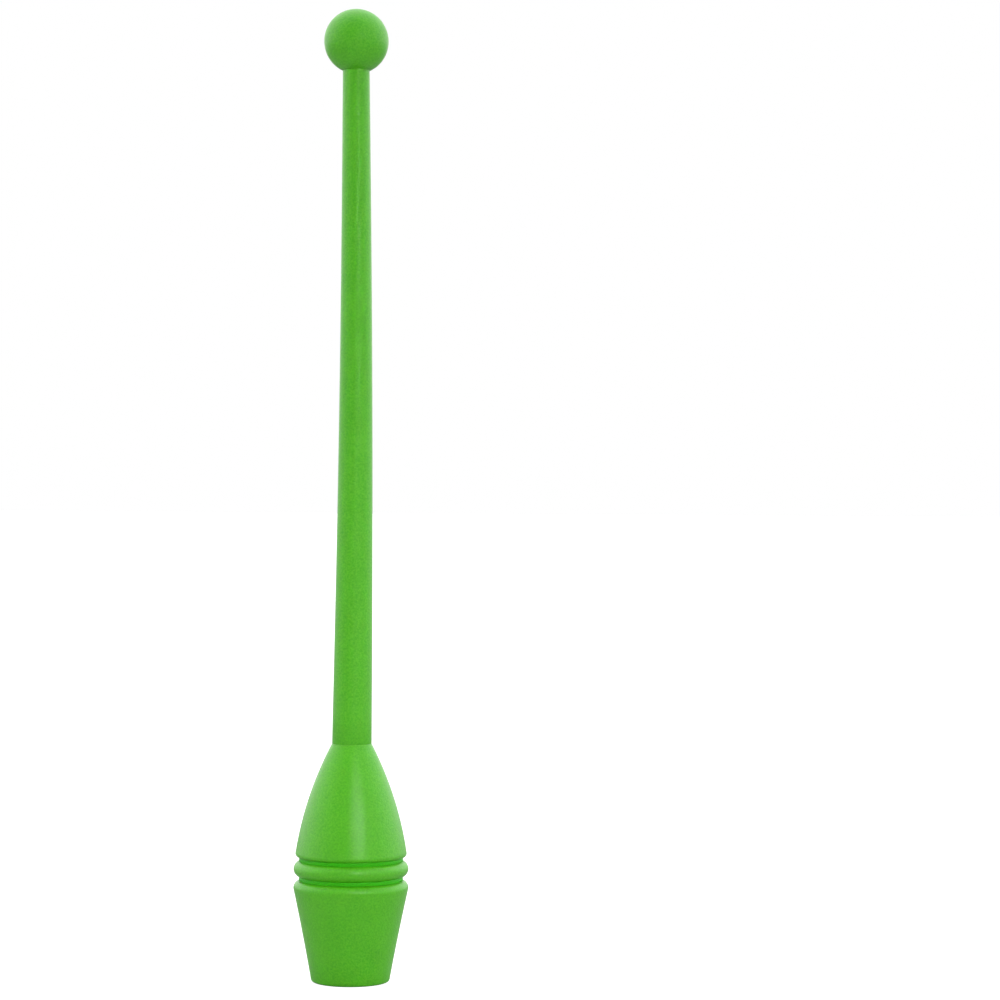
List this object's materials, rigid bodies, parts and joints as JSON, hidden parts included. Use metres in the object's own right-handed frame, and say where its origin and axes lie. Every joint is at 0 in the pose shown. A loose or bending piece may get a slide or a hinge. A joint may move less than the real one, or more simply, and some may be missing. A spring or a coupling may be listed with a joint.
{
  "type": "rhythmic gymnastics club",
  "caption": "Slim hand club with a small ball head, a long tapered neck and a bell-shaped, weighted body that has a raised ring between grooves; it is swung, tossed and caught.",
  "frame": {"origin": "centre of the flat base, at the height of the surface that the club stands on", "axes": "+Z along the club's axis, from the base to the ball head; +X and +Y lie in the plane of the base, and the club is round, so they have no other meaning"},
  "size_m": [0.0484, 0.0484, 0.41],
  "materials": {
    "green_plastic": "satin",
    "green_rubber": "satin",
    "natural_nylon": "satin",
    "aluminium": "satin",
    "zinc_plated_steel": "satin",
    "turned_steel": "satin",
    "black_rubber": "matte"
  },
  "bodies": {
    "root": {"head_ball": "green_rubber", "head_ferrule": "aluminium", "neck_sleeve": "green_plastic", "neck_bush": "natural_nylon", "core_rod": "natural_nylon", "upper_body": "green_plastic", "body_joiner": "green_plastic", "bumper_ring": "green_rubber", "lower_body": "green_plastic", "foot_ferrule": "aluminium", "base_screw": "zinc_plated_steel", "screw_washer": "zinc_plated_steel", "base_plug": "green_rubber", "lower_buffer": "black_rubber", "balance_weight": "turned_steel", "upper_buffer": "black_rubber", "spacer_tube": "natural_nylon"}
  },
  "joints": []
}
